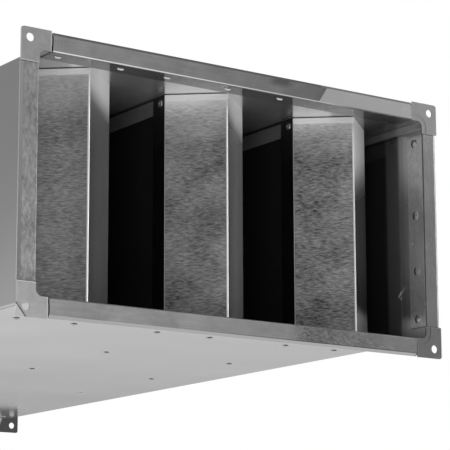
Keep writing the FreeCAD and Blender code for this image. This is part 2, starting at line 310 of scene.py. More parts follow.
FACING = 0.9
MASK_GAP = 0.0003
RAIL_OUTSIDE = 0.0012
RAIL_RIM = 0.0189
RAIL_WEB_DEPTH = 0.0045
RAIL_EDGE_DEPTH = 0.004
LEG_TONE_RAMP = (0.178, 0.19, 0.46, 0.28)
LEG_CORNER_RAMP = (0.2, 0.23, 1.0, 0.35)
LEG_ROUGH_RAMP = (0.18, 0.2, 0.3, 1.0)
SIDE_LEG_TONE = 1.45


class Rail(Graph):
    """Graph of a rolled rail, with its stains, the masks of its faces, and painted shade on its web
    and legs and painted light on its bevel.
    """

    def __init__(self, name, stain_scale):
        super().__init__(name)
        across, up = self.size(self.x), self.size(self.z)
        side, level, ahead = self.size(self.normal_x), self.size(self.normal_z), self.size(self.normal_y)
        depth = self.from_mouth()
        tilt = self.most(side, level)
        outside = self.most(self.above(across, HALF_WIDTH + RAIL_OUTSIDE),
                            self.above(up, HALF_HEIGHT + RAIL_OUTSIDE))
        self.cloud = self.noise(scale=26.0, detail=4.0, rough=0.6, distort=0.4)
        self.tone_drift = self.noise(self.scaled(stain_scale), detail=4.0, rough=0.65, distort=0.3)
        self.front = self.above(ahead, FACING)
        self.leg = self.times(self.below(up, HALF_HEIGHT - MASK_GAP), self.above(level, FACING))
        self.side_leg = self.times(self.below(across, HALF_WIDTH - MASK_GAP), self.above(side, FACING))
        self.web = self.times(self.above(depth, RAIL_WEB_DEPTH), outside)
        self.bevel = self.times(self.fade(tilt, 0.45, 0.5), self.fade(tilt, 0.95, 0.9), outside)
        self.rim = self.times(self.above(across, HALF_WIDTH + RAIL_RIM), self.above(side, FACING))
        self.inner_edge = self.times(self.fade(tilt, 0.1, 0.2), self.fade(tilt, 0.96, 0.9),
                                     self.minus(1.0, outside), self.below(depth, RAIL_EDGE_DEPTH))

    def dirt(self, cloud_depth, stain_depth):
        return self.add(self.spread(self.cloud, -cloud_depth, cloud_depth),
                        self.span(self.tone_drift, 0.35, 0.65, -stain_depth, stain_depth))

    # Painted shade on the web, the rail's sheet outside the casing and back from the mouth.
    def shade_web(self, value):
        return self.times(value, self.mix(self.web, 1.0, 0.5))

    def shade_legs(self, value):
        """The level legs lie in the mouth's shade, more so to the right, and the right leg's foot too."""
        level_tone = self.ramps(self.x, LEG_TONE_RAMP, LEG_CORNER_RAMP)
        side_tone = self.times(SIDE_LEG_TONE, self.most(self.foot_tone(), self.below(self.x, 0.0)))
        return self.times(value, self.mix(self.leg, 1.0, level_tone), self.mix(self.side_leg, 1.0, side_tone))

    # Painted light on the bevelled rim: a tone below 1 gives painted shade, above 1 painted highlight.
    def shade_bevel(self, value, tone):
        return self.times(self.mix(self.bevel, value, 0.55), self.mix(self.bevel, 1.0, tone))

    def close(self, value):
        leg_rough = self.span(self.x, *LEG_ROUGH_RAMP)
        rough = self.times(self.spread(self.tone_drift, 0.28, 0.2), self.mix(self.leg, 1.0, leg_rough))
        metallic = self.mix(self.leg, 0.85, 0.5)
        return sheet_metal(self, value, rough, self.bump(self.cloud, strength=0.06, distance=0.001), metallic)


SLANTED_LINE = {"x": 0.1064, "z": 0.1309, "slope": 0.669}
DARKENING_RAMPS = ((-0.30, -0.10, 0.97, 0.64), (-0.055, -0.004, 1.0, 0.72))
DIM_SPOT_BACK = 0.06
DIM_SPOT_RAMP = (0.006, 0.02, 0.5, 0.0)
DIM_SPOT_EDGE = (0.131, 0.138)
SLANTED_BEVEL_LIGHT_RAMP = (0.105, 0.108, 0.95, 1.6)


def slanted_line_face(graph, value):
    """Top rail: lighter beyond a slanted line, darker toward it from the left, and a darker spot in that."""
    rise = graph.minus(graph.z, SLANTED_LINE["z"])
    past = graph.minus(graph.x, graph.add(SLANTED_LINE["x"], graph.times(rise, SLANTED_LINE["slope"])))
    tone_drift = graph.ramps(past, *DARKENING_RAMPS)
    from_dim_spot = graph.size(graph.add(past, DIM_SPOT_BACK))
    dim_spot = graph.times(graph.span(from_dim_spot, *DIM_SPOT_RAMP), graph.fade(graph.z, *DIM_SPOT_EDGE))
    darkened = graph.times(value, tone_drift, graph.minus(1.0, dim_spot))
    lightened = graph.add(graph.times(value, 0.3), 0.5)
    return graph.mix(graph.above(past, 0.0), darkened, lightened)


# Painted highlight on the top rail's bevel beyond the slanted line.
def slanted_bevel_light(graph):
    return graph.span(graph.x, *SLANTED_BEVEL_LIGHT_RAMP)


CREASE_SHADE_EDGE = (-0.1404, -0.1411)
CREASE_SHADE_RAMP = (-0.1, 0.05, 0.75, 0.4)
BLOTCH_EDGE = (0.055, 0.078)
BLOTCH_RAMP = (0.225, 0.1, 0.15, 1.0)


def stained_and_shaded_face(graph, value):
    """Bottom rail: a blotched stretch near its right end, and painted shade in the crease along its
    lower edge.
    """
    blotch = graph.noise(graph.scaled((300, 750, 750)), detail=4.0, rough=0.6)
    share = graph.times(graph.fade(graph.x, *BLOTCH_EDGE), graph.span(graph.x, *BLOTCH_RAMP))
    value = graph.times(value, graph.mix(share, 0.95, graph.span(blotch, 0.38, 0.62, 0.36, 0.78)))
    # Painted shade in the crease between the face and the lower bevel.
    crease_shade = graph.fade(graph.z, *CREASE_SHADE_EDGE)
    return graph.times(value, graph.mix(crease_shade, 1.0, graph.span(graph.x, *CREASE_SHADE_RAMP)))


LYING_TONE = 0.545
TOP_EDGE_RAMPS = ((-0.2, 0.05, 0.85, 0.55), (0.12, 0.15, 1.0, 0.35))


def lying_rail(name, face=None, bevel=None):
    """Top or bottom rail. face shades its front, and bevel sets the painted light of its bevelled rim,
    by place. The top rail's inner edge has a painted highlight that turns to painted shade
    at its right end.
    """
    graph = Rail(name, (25.0, 170.0, 170.0))
    value = graph.shade_web(graph.add(LYING_TONE, graph.dirt(0.075, 0.05)))
    if face:
        value = graph.mix(graph.front, value, face(graph, value))
    value = graph.shade_bevel(graph.shade_legs(value), bevel(graph) if bevel else 0.8)
    value = graph.most(value, graph.rim)
    # Painted highlight along the top rail's inner edge, turning to painted shade at its right end.
    top_edge = graph.times(graph.inner_edge, graph.above(graph.z, 0.0))
    return graph.close(graph.mix(top_edge, value, graph.ramps(graph.x, *TOP_EDGE_RAMPS)))


UPRIGHT_TONE_RAMP = (0.0, 0.2, 0.53, 0.48)
MOTTLE_RAMP = (-0.2, 0.2, 1.0, 0.45)
RIGHT_SIDE = (0.1, 0.2)
LOWER_RIGHT_RAMP = (0.03, 0.1, 0.76, 0.97)
PLATE_SHADOW = (0.1097, 0.1109)


def upright_rail(name):
    """Left or right rail: more stained to the left, darker to the lower right, and with painted shade
    along its inner bends.
    """
    graph = Rail(name, (300.0, 300.0, 150.0))
    dirt = graph.times(graph.dirt(0.13, 0.15), graph.span(graph.x, *MOTTLE_RAMP))
    value = graph.shade_web(graph.add(graph.span(graph.x, *UPRIGHT_TONE_RAMP), dirt))
    # Painted light on the bevel.
    value = graph.shade_bevel(graph.shade_legs(value), 1.15)
    darker = graph.span(graph.x, *RIGHT_SIDE, 1.0, graph.span(graph.z, *LOWER_RIGHT_RAMP))
    level = graph.size(graph.z)
    plate_shadow = graph.times(graph.above(level, PLATE_SHADOW[0]), graph.below(level, PLATE_SHADOW[1]))
    value = graph.times(value, graph.mix(graph.side_leg, darker, 1.0), graph.mix(plate_shadow, 1.0, 0.3))
    # Painted shade along the inner bends.
    return graph.close(graph.times(graph.most(value, graph.rim), graph.mix(graph.inner_edge, 1.0, 0.4)))


PLATE_ARM = 0.02835
PLATE_END_EDGE = (0.0337, 0.0342)
PLATE_CONTOUR_RADIUS = 0.013
PLATE_STEP_EDGE = (0.0012, 0.0003)
PLATE_WORN_EDGE = (0.0007, 0.0003)
PLATE_HIDDEN_DEPTH = 0.0009
PLATE_PRESSED_DEPTH = 0.0008


def zinc_plate(name, shade=1.0, fold=None):
    """Pressed plate: painted shade on the step along its inner contour, painted highlights on its edges,
    and painted shade on its hidden side.
    """
    graph = Graph(name)
    cloud = graph.noise(scale=45.0, detail=4.0, rough=0.6, distort=0.6)
    spot = graph.noise(scale=160.0, rough=0.6)
    insets = (graph.minus(FLANGE_HALF_WIDTH, graph.size(graph.x)),
              graph.minus(FLANGE_HALF_HEIGHT, graph.size(graph.z)))
    reaches = [graph.math("POWER", graph.least(graph.minus(inset, PLATE_ARM), 0.0), 2.0) for inset in insets]
    across = graph.size(graph.minus(PLATE_CONTOUR_RADIUS, graph.math("SQRT", graph.add(*reaches))))
    step = graph.fade(across, *PLATE_STEP_EDGE)
    depth = graph.from_mouth()
    hidden = graph.above(depth, PLATE_HIDDEN_DEPTH)
    ends = [graph.fade(inset, *PLATE_END_EDGE) for inset in insets]
    open_end = graph.times(graph.most(*ends), graph.minus(1.0, hidden))
    cut = graph.times(open_end, graph.above(graph.x, 0.0))
    edge_highlight = graph.most(graph.times(open_end, graph.below(graph.x, 0.0)),
                      graph.fade(insets[0], *PLATE_WORN_EDGE))
    pressed = graph.times(step, graph.below(graph.size(graph.normal_y), 0.5),
                          graph.below(depth, PLATE_PRESSED_DEPTH))
    value = graph.add(graph.spread(cloud, 0.5, 0.62), graph.spread(spot, -0.03, 0.03))
    # Painted shade on the step and on the hidden side.
    value = graph.times(value, graph.mix(step, shade, 0.92 * shade), graph.mix(hidden, 1.0, 0.2))
    # Painted highlights on the edges.
    value = graph.most(value, graph.times(edge_highlight, 0.9))
    metallic = graph.mix(graph.most(pressed, cut), 0.85, 0.1)
    if fold:
        value, metallic = fold(graph, value)
    rough = graph.add(graph.spread(cloud, 0.38, 0.28), graph.times(edge_highlight, 0.12))
    return sheet_metal(graph, value, rough, graph.bump(spot, strength=0.06, distance=0.0006), metallic)


BENT_WIDTH = 0.0105
BENT_HEIGHT = 0.013
BEND_EDGE = (-0.09, -0.13)
BEND_CREASE_EDGE = (0.07, 0.03)


def bent_corner(graph, value):
    """Bottom left plate, whose corner is bent back: painted light on the bent part, and painted shade in
    the crease.
    """
    across = graph.times(graph.add(graph.x, FLANGE_HALF_WIDTH), 1 / BENT_WIDTH)
    up = graph.times(graph.add(graph.z, FLANGE_HALF_HEIGHT), 1 / BENT_HEIGHT)
    past = graph.minus(graph.add(across, up), 1.0)
    bent = graph.fade(past, *BEND_EDGE)
    crease_shade = graph.times(graph.minus(1.0, bent), graph.fade(past, *BEND_CREASE_EDGE))
    # Painted light on the bent part, and painted shade in the crease.
    value = graph.times(graph.most(value, graph.times(bent, 0.6)), graph.mix(crease_shade, 1.0, 0.25))
    return value, graph.mix(bent, 0.85, 0.3)


# Values of the noses. Three numbers go by splitter, from left to right, and the tones that differ
# by nose are painted light and shade. The bloom is painted light on the upper end of a nose's right
# face. It starts at a height by the fold, leans as it goes away from the fold, and grows over its reach.
BLOOM_START = (0.0885, 0.0945, 0.026)
BLOOM_LEAN = (-0.15, -0.2, 0.4)
BLOOM_REACH = (0.027, 0.027, 0.056)
BLOOM_TONE_RAMP = (0.0, 0.03, 0.66, 0.86)
HAZE_START = -0.003
HAZE_REACH = (0.0255, 0.0255, 0.034)
RIGHT_FACE_WIDTH = 0.05
RIGHT_TONE = (0.46, 0.8, 0.36)
RIGHT_TONE_BY_FOLD = (0.45, 0.45, 0.85)
RIGHT_TONE_BY_EDGE = (1.9, 1.9, 1.5)
THIRD_DIP_RAMPS = ((-0.075, -0.03, 0.5, 1.0), (-0.1, -0.086, 6.0, 1.0))
THIRD_GLOW_RAMP = (-0.1, -0.088, 0.4, 0.0)
LEFT_TONE = (-0.055, -0.03, -0.03)
LEFT_FOOT_RAMP = (-0.12, -0.04, -0.235, -0.22)
LEFT_RISE_START = (0.07, 0.07, 0.078)
LEFT_RISE_END = 0.1
LEFT_RISE = (0.27, 0.36, 0.28)
LAST_RISE_RAMP = (LEFT_RISE_END, 0.118, 0.0, 0.34)
SECOND_HALF_WIDTH = 0.06
SECOND_TOP_RAMP = (0.09, 0.115, 0.0, 0.35)
PATCH_DEPTH = (1.0, 1.8, 1.8)
STREAK_DEPTH = (0.19, 0.23, 0.28)
BAND_EDGE = (0.1178, 0.1186)
STREAK_TILT = 6
STREAK_WAVE = 0.0035

# Edges of the nose's masks, by the face's normal.
BRUSHED_EDGE = (0.25, 0.45)
SMOOTH_EDGE = (-0.25, -0.45)
FOLD_EDGE = (0.64, 0.54)
SHOULDER_EDGES = ((0.68, 0.72), (0.98, 0.95))
FLANGE_EDGE = (0.85, 0.95)


def brushed_streaks(graph):
    """Fine streaks across the nose's left face, a little tilted and wavy."""
    wave = graph.noise(graph.scaled((45, 45, 60)), detail=2.0)
    lift = graph.node("CombineXYZ")
    graph.feed(lift.inputs[2], graph.mix(wave, -STREAK_WAVE, STREAK_WAVE))
    moved = graph.node("VectorMath")
    graph.feed(moved.inputs[0], graph.place)
    graph.feed(moved.inputs[1], lift.outputs[0])
    stretched = graph.scaled((150, 150, 800), moved.outputs[0], turn=(0.0, math.radians(STREAK_TILT), 0.0))
    return graph.noise(stretched, detail=4.0, rough=0.65)


def left_face_tone(graph):
    """What the nose's left face adds to its value: painted shade that differs by nose, painted light
    that rises to the bright band on top, and patches.
    """
    cloud = graph.noise(graph.scaled((20, 20, 26)))
    foot = graph.span(graph.z, *LEFT_FOOT_RAMP)
    start = graph.by_splitter(*LEFT_RISE_START)
    rise = graph.span(graph.z, start, LEFT_RISE_END, 0.0, graph.by_splitter(*LEFT_RISE))
    last_rise = graph.span(graph.z, *LAST_RISE_RAMP)
    patches = graph.times(graph.spread(cloud, -0.07, 0.07), graph.by_splitter(*PATCH_DEPTH))
    return graph.add(graph.by_splitter(*LEFT_TONE), foot, rise, last_rise, patches)


def right_face_tone(graph, third, off_middle):
    """Value of the nose's smooth right face, with painted light that differs by nose and grows away
    from its fold. The third nose's has painted shade on its lower end and painted light at its foot."""
    speck = graph.noise(scale=900.0, detail=2.0, rough=0.6)
    value = graph.add(graph.by_splitter(*RIGHT_TONE), graph.spread(speck, -0.035, 0.035))
    dip = graph.ramps(graph.z, *THIRD_DIP_RAMPS)
    by_fold = graph.by_splitter(*RIGHT_TONE_BY_FOLD)
    by_edge = graph.by_splitter(*RIGHT_TONE_BY_EDGE)
    away = graph.span(off_middle, 0.0, RIGHT_FACE_WIDTH, by_fold, by_edge)
    return graph.least(graph.times(value, graph.mix(third, 1.0, dip), away), 1.0)


def nose_sheet(name):
    """Folded nose: brushed left face with painted light rising to a bright band on top, smooth right
    face with painted light on its upper end, and painted highlights on the fold and shoulders."""
    graph = Graph(name)
    side = graph.size(graph.normal_x)
    slant = graph.times(graph.normal_x, graph.normal_y)
    off_middle = graph.size(graph.from_splitter(graph.x))
    third = graph.fade(graph.x, *SECOND_GAP)
    brushed = graph.fade(slant, *BRUSHED_EDGE)
    smooth = graph.fade(slant, *SMOOTH_EDGE)
    band = graph.times(graph.fade(graph.z, *BAND_EDGE), brushed)
    streaked = graph.minus(brushed, band)
    edge_highlight = graph.fade(side, *FOLD_EDGE)
    shoulder = graph.times(*(graph.fade(side, *edge) for edge in SHOULDER_EDGES))
    flat = graph.fade(side, *FLANGE_EDGE)
    left_flange = graph.times(flat, graph.below(graph.normal_x, 0.0))
    right_flange = graph.times(flat, graph.above(graph.normal_x, 0.0))

    lean = graph.times(off_middle, graph.by_splitter(*BLOOM_LEAN))
    past = graph.minus(graph.z, graph.add(graph.by_splitter(*BLOOM_START), lean))
    haze = graph.times(graph.fade(past, HAZE_START, graph.by_splitter(*HAZE_REACH)), smooth)
    bloom = graph.times(graph.ease(graph.fade(past, 0.0, graph.by_splitter(*BLOOM_REACH))), smooth)
    glow = graph.times(smooth, third, graph.span(graph.z, *THIRD_GLOW_RAMP))

    # Painted light and shade on the right face, by nose.
    value = graph.mix(smooth, 0.62, right_face_tone(graph, third, off_middle))
    value = graph.mix(band, value, 1.0)
    # Painted light on the upper end of the right face.
    value = graph.mix(bloom, value, graph.most(graph.span(off_middle, *BLOOM_TONE_RAMP), third))
    streak = brushed_streaks(graph)
    # Painted light and shade on the left face.
    value = graph.add(value, graph.times(streaked, left_face_tone(graph)))
    streak_tone = graph.times(graph.by_splitter(*STREAK_DEPTH), graph.spread(streak, -1.0, 1.0))
    value = graph.add(value, graph.times(streaked, streak_tone))
    value = graph.mix(left_flange, value, 0.28)
    # Painted highlights on the fold and the shoulders.
    value = graph.most(value, edge_highlight, graph.times(right_flange, 0.45), graph.times(shoulder, 0.9))

    rough = graph.mix(streaked, graph.mix(haze, 0.24, 0.5), 0.48)
    rough = graph.mix(edge_highlight, rough, 0.42)
    second = graph.below(graph.size(graph.x), SECOND_HALF_WIDTH)
    second_top = graph.times(second, graph.span(graph.z, *SECOND_TOP_RAMP), streaked)
    not_edge_highlight = graph.minus(1.0, edge_highlight)
    hazy = graph.times(graph.most(bloom, band, right_flange, glow, second_top), not_edge_highlight)
    metallic = graph.add(graph.mix(hazy, 0.85, 0.1), graph.times(left_flange, 0.14))
    height = graph.times(streak, streaked, not_edge_highlight)
    return sheet_metal(graph, value, rough, graph.bump(height, strength=0.2, distance=0.0006), metallic)


BRIM_EDGE = (0.1226, 0.1232)


def channel_sheet(name):
    """Splitter's channel, with painted shadow on its brim in the gap under the casing."""
    graph = Graph(name)
    cloud = graph.noise(scale=18.0)
    brim = graph.fade(graph.size(graph.z), *BRIM_EDGE)
    # Painted shadow on the brim in the gap.
    value = graph.times(graph.spread(cloud, 0.58, 0.7), graph.mix(brim, 1.0, 0.15))
    return sheet_metal(graph, value, 0.26, metallic=0.76)


def facing(name):
    """Black glass tissue over the mineral wool."""
    graph = Graph(name)
    fibre = graph.noise(graph.scaled((900, 140, 900)), detail=4.0, rough=0.65, distort=1.2)
    graph.shader.inputs["Specular IOR Level"].default_value = 0.2
    value = graph.span(fibre, 0.35, 0.75, 0.007, 0.018)
    bump = graph.bump(fibre, strength=0.4, distance=0.0004)
    return graph.finish(value, metallic=0.0, roughness=0.95, normal=bump)


RIVET_OFF_CASING = 0.0006
BUTTON_INSIDE = 0.004


def rivet_steel(name):
    """Bright metal. Casing rivets are darker on the slopes toward the nearer mouth, and clinch
    buttons have painted shade on their side away from it.
    """
    graph = Graph(name)
    value = graph.spread(graph.noise(scale=300.0), 0.6, 0.68)
    toward = graph.times(graph.normal_y, graph.math("SIGN", graph.minus(graph.y, LENGTH / 2)))
    on_casing = graph.above(graph.size(graph.z), HALF_HEIGHT + RIVET_OFF_CASING)
    tilted = graph.fade(graph.size(graph.normal_z), 0.86, 0.8)
    mouth_slope_dark = graph.times(on_casing, tilted, graph.fade(toward, 0.35, 0.6))
    on_wall = graph.above(graph.size(graph.x), HALF_WIDTH - BUTTON_INSIDE)
    button = graph.times(on_wall, graph.fade(toward, -0.06, -0.12))
    # Darker slopes on the casing rivets, and painted shade on the clinch buttons' far side.
    return sheet_metal(graph, graph.times(value, graph.mix(graph.most(mouth_slope_dark, button), 1.0, 0.08)), 0.2)


finishes = {
    "galvanised_casing": casing_sheet("galvanised_casing"),
    "galvanised_rail": lying_rail("galvanised_rail"),
    "zinc_corner": zinc_plate("zinc_corner"),
    "galvanised_nose": nose_sheet("galvanised_nose"),
    "galvanised_channel": channel_sheet("galvanised_channel"),
    "absorbent_facing": facing("absorbent_facing"),
    "rivet_steel": rivet_steel("rivet_steel"),
}

own_finishes = {
    "front_rail_top": lying_rail("galvanised_rail_rubbed", face=slanted_line_face, bevel=slanted_bevel_light),
    "front_rail_bottom": lying_rail("galvanised_rail_stained", face=stained_and_shaded_face),
    # Corner plates are lit and shaded copies of one plate: shade below 1 is painted shade, above 1 painted
    # light.
    "front_corner_bottom_left": zinc_plate("zinc_corner_bent", shade=1.15, fold=bent_corner),
    "front_corner_bottom_right": zinc_plate("zinc_corner_deep_shade", shade=0.43),
    "front_corner_top_right": zinc_plate("zinc_corner_slight_shade", shade=0.79),
    "rear_corner_bottom_left": zinc_plate("zinc_corner_deepest_shade", shade=0.4),
}
upright_finish = upright_rail("galvanised_rail_upright")
for mouth in ("front", "rear"):
    for side in ("left", "right"):
        own_finishes["%s_rail_%s" % (mouth, side)] = upright_finish


def dress(obj, finish):
    obj.data.materials.clear()
    obj.data.materials.append(finish)


for node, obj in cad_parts.items():
    slot = obj.data.materials[0].name.split(".")[0]
    dress(obj, own_finishes.get(node, finishes[slot]))


# Small pieces

ROUND_STEPS = 28


def in_metres(profile):
    return [(first * MM, second * MM) for first, second in profile]


RIVET = in_metres([(0, 0), (3.8, 0), (4.0, 0.12), (3.95, 0.3), (3.4, 0.75), (2.6, 1.1), (1.9, 1.27),
                   (1.45, 1.28), (1.25, 1.15), (1.2, 0.75), (0.9, 0.7), (0.85, 0.95), (0.5, 1.05), (0, 1.08)])
BUTTON = in_metres([(5.0, -0.02), (4.7, 0.1), (3.7, 0.45), (2.5, 0.72), (1.2, 0.85), (0, 0.88)])
RIDGE = in_metres([(-1.0, -0.02), (-0.4, 1.3), (-0.1, 1.5), (0.3, 1.4), (0.8, 0.8), (1.2, -0.02)])


def revolved(shape, profile, seat, outward):
    """Adds a profile of (radius, height) turned about outward at seat."""
    turn = Vector((0, 0, 1)).rotation_difference(Vector(outward)).to_matrix()
    rings = []
    for radius, height in profile:
        ring = []
        for index in range(ROUND_STEPS if radius else 1):
            angle = 2 * math.pi * index / ROUND_STEPS
            point = Vector((math.cos(angle) * radius, math.sin(angle) * radius, height))
            ring.append(shape.verts.new(Vector(seat) + turn @ point))
        rings.append(ring)
    for low, high in zip(rings, rings[1:]):
        for index in range(ROUND_STEPS):
            after = (index + 1) % ROUND_STEPS
            if len(high) == 1:
                shape.faces.new((low[index], low[after], high[0]))
            elif len(low) == 1:
                shape.faces.new((low[0], high[after], high[index]))
            else:
                shape.faces.new((low[index], low[after], high[after], high[index]))


def piece(name, shape, slot, replaces=(), smooth=True):
    mesh = bpy.data.meshes.new(name)
    bmesh.ops.recalc_face_normals(shape, faces=shape.faces)
    shape.to_mesh(mesh)
    shape.free()
    for face in mesh.polygons:
        face.use_smooth = smooth
    obj = bpy.data.objects.new(name, mesh)
    scene.collection.objects.link(obj)
    dress(obj, finishes[slot])
    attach(obj, "root")
    if replaces:
        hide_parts(*replaces)


FRAME_RIVET_BACK = 0.008
FRAME_RIVET_LEVELS = (-0.1174, 0.1167)


def frame_rivet_heads():
    """Heads in the side flanges of the noses, at both ends of each splitter."""
    depth = NOSE_SHOULDER + FRAME_RIVET_BACK
    for number, centre in enumerate(SPLITTERS, 1):
        shape = bmesh.new()
        for y in (depth, LENGTH - depth):
            for z in FRAME_RIVET_LEVELS:
                for side in (-1, 1):
                    revolved(shape, RIVET, (centre + side * NOSE_HALF_WIDTH, y, z), (side, 0, 0))
        piece("splitter_%d_rivet_heads" % number, shape, "rivet_steel", ["splitter_%d_frame_rivets" % number])


NOSE_FACE = (0.05115, 0.0438)
NOSE_FACE_NORMAL = (0.650, -0.760)
EDGE_LIP_DEPTHS = (0.00033, -0.0003)
EDGE_LIP_ENDS = (0.03, 1.0)
EDGE_LIP_LEVELS = (0.12405, 0.12497)


def nose_edge_lips():
    """Thin lips that close the gap above the noses' right faces. NOSE_FACE is such a face's width
    across the airway and its depth along it."""
    shape = bmesh.new()
    for centre in SPLITTERS:
        for mouth, way in ((0.0, 1), (LENGTH, -1)):
            corners = []
            for proud in EDGE_LIP_DEPTHS:
                for share in EDGE_LIP_ENDS:
                    x = centre + NOSE_FACE[0] * share + NOSE_FACE_NORMAL[0] * proud
                    y = mouth + way * (NOSE_TIP + NOSE_FACE[1] * share + NOSE_FACE_NORMAL[1] * proud)
                    corners += [shape.verts.new((x, y, level)) for level in EDGE_LIP_LEVELS]
            for face in ((0, 2, 3, 1), (4, 5, 7, 6), (0, 1, 5, 4), (2, 6, 7, 3), (1, 3, 7, 5), (0, 4, 6, 2)):
                shape.faces.new([corners[index] for index in face])
    piece("splitter_nose_edge_lips", shape, "galvanised_nose", smooth=False)


CASING_RIVET_ROW = 0.005
CASING_RIVET_ASIDE = 0.0345
CASING_RIVET_END = 0.121
CASING_RIVET_START = 0.279
CASING_RIVET_PITCH = 0.1695
CASING_RIVET_COUNT = 4


def casing_rivet_heads():
    """Heads over each splitter: two near each mouth, and a row between them."""
    for side, name in ((1, "top"), (-1, "bottom")):
        shape = bmesh.new()
        for centre in SPLITTERS:
            row = centre + CASING_RIVET_ROW
            places = [(row + way * CASING_RIVET_ASIDE, y)
                      for y in (CASING_RIVET_END, LENGTH - CASING_RIVET_END) for way in (-1, 1)]
            for index in range(CASING_RIVET_COUNT):
                places.append((row, CASING_RIVET_START + index * CASING_RIVET_PITCH))
            for x, y in places:
                revolved(shape, RIVET, (x, y, side * (HALF_HEIGHT + CASING_SHEET)), (0, 0, side))
        piece("casing_rivet_heads_" + name, shape, "rivet_steel", ["casing_rivets_" + name])


RIDGE_RADIUS = 8 * MM
RIDGE_HALF_ANGLE = 29
RIDGE_MIDDLE = 7


def clinch_ridge(shape, seat, inward, outward):
    """Short bowed ridge of a clinch in the upper and lower rails, steep toward the mouth."""
    aside = Vector(outward).cross(inward)
    foot = Vector(seat) - Vector(inward) * RIDGE_RADIUS
    rows = []
    for index in range(-RIDGE_MIDDLE, RIDGE_MIDDLE + 1):
        angle = math.radians(index * RIDGE_HALF_ANGLE / RIDGE_MIDDLE)
        ray = Vector(inward) * math.cos(angle) + aside * math.sin(angle)
        grown = min(1.0, 3.0 * (1 - abs(index) / RIDGE_MIDDLE) + 0.25)
        row = []
        for reach, height in RIDGE:
            point = foot + ray * (RIDGE_RADIUS + reach * grown) + Vector(outward) * (height * grown)
            row.append(shape.verts.new(point))
        rows.append(row)
    for row, after in zip(rows, rows[1:]):
        for index in range(len(RIDGE) - 1):
            shape.faces.new((row[index], row[index + 1], after[index + 1], after[index]))


CLINCH_DEPTH = 0.0145
RIDGE_PLACES = (-220.6 * MM, -145.7 * MM, -88.5 * MM, -11 * MM, 58.2 * MM)
BUTTON_PLACES = (101 * MM, 17.6 * MM, -46 * MM, -100 * MM)


def rail_clinches():
    """Pressed joints of the rails' inner legs: ridges at the top and bottom, buttons at the sides."""
    for mouth, y, way in (("front", CLINCH_DEPTH, 1), ("rear", LENGTH - CLINCH_DEPTH, -1)):
        shape = bmesh.new()
        for side in (-1, 1):
            for x in RIDGE_PLACES:
                clinch_ridge(shape, (x, y, side * (HALF_HEIGHT - RAIL_LEG_FACE)), (0, way, 0), (0, 0, -side))
            for z in BUTTON_PLACES:
                revolved(shape, BUTTON, (side * (HALF_WIDTH - RAIL_LEG_FACE), y, z), (-side, 0, 0))
        piece(mouth + "_rail_clinches", shape, "rivet_steel")


frame_rivet_heads()
nose_edge_lips()
casing_rivet_heads()
rail_clinches()


# Camera

SENSOR_WIDTH = 36
PICTURE_WIDTH = 450
LENS_IN_PIXELS = 2036
CAMERA_PLACE = Vector((-1.224, -1.691, -0.459))
CAMERA_TURN = (35.35, 11.75, -0.18)


def aim(camera, place, angles):
    """Puts the camera at place. angles are its yaw from +Y toward +X, pitch up and roll, in degrees."""
    yaw, pitch, roll = (math.radians(angle) for angle in angles)
    ahead = Vector((math.sin(yaw) * math.cos(pitch), math.cos(yaw) * math.cos(pitch), math.sin(pitch)))
    level = Vector((math.cos(yaw), -math.sin(yaw), 0))
    upward = level.cross(ahead)
    right = level * math.cos(roll) + upward * math.sin(roll)
    up = upward * math.cos(roll) - level * math.sin(roll)
    camera.matrix_world = Matrix.Translation(place) @ Matrix((right, up, -ahead)).transposed().to_4x4()


lens = bpy.data.cameras.new("camera")
lens.lens = LENS_IN_PIXELS * SENSOR_WIDTH / PICTURE_WIDTH
lens.sensor_width = SENSOR_WIDTH
lens.clip_start = 0.05
lens.clip_end = 60
camera = bpy.data.objects.new("camera", lens)
scene.collection.objects.link(camera)
aim(camera, CAMERA_PLACE, CAMERA_TURN)
scene.camera = camera


# Floor and light

FLOOR_HALF_SIZE = 12.0
FLOOR_GAP = 0.0005


def floor():
    """Pale plane just under the part, clear from below, where the photo looks up from."""
    half = FLOOR_HALF_SIZE
    level = cad_low.z - FLOOR_GAP
    mesh = bpy.data.meshes.new("floor")
    mesh.from_pydata([(-half, -half, level), (half, -half, level), (half, half, level), (-half, half, level)],
                     [], [(0, 1, 2, 3)])
    obj = bpy.data.objects.new("floor", mesh)
    scene.collection.objects.link(obj)
    graph = Graph("floor_paint")
    graph.finish(graph.spread(graph.noise(scale=2.0), 0.86, 0.88), metallic=0.0, roughness=0.9)
    mix = graph.node("MixShader")
    graph.feed(mix.inputs[0], graph.node("NewGeometry").outputs["Backfacing"])
    graph.feed(mix.inputs[1], graph.shader.outputs[0])
    graph.feed(mix.inputs[2], graph.node("BsdfTransparent").outputs[0])
    graph.feed(graph.out.inputs[0], mix.outputs[0])
    mesh.materials.append(graph.material)
    obj.visible_diffuse = obj.visible_glossy = obj.visible_transmission = obj.visible_shadow = False


# Patches of the surround: turn and lift of the middle, outer and inner angle, and strength.
# A turn goes from the front mouth's -Y toward +X. All angles are in degrees.
DARK_PATCH = (50, 3, 18, 7, 0.05)
BRIGHT_PATCHES = (
    (50, 24, 17, 8, 0.4),
    (-145, 3, 12, 4, 0.4),
    (85, 10, 15, 9, 4.0),
    (60, 10, 9, 5, 3.5),
)


# Ramps of the surround's brightness, by the rise of a direction, and the ranges between its parts.
UNDER_RAMP = (-0.95, -0.7, 0.5, 1.0)
FAR_TABLE_RAMP = (-0.17, -0.10, 0.76, 0.28)
ROOM_RAMP = (0.45, 0.8, 0.28, 0.08)
ROOM_LIMIT_RAMP = (0.2, 0.5, 0.24, 0.3)
DIM_RAMP = (0.13, 0.45, 0.07, 0.65)
NEAR_TABLE = 0.95
TABLE_RANGE = (-0.2, 0.6)
OPEN_SIDE_RANGE = (-0.05, 0.26)
CAMERA_SIDE_RANGE = (-0.4, -0.15)
CAMERA_SIDE_TURN = -45
CAMERA_SIDE_SPREAD = (0.6, 0.92)


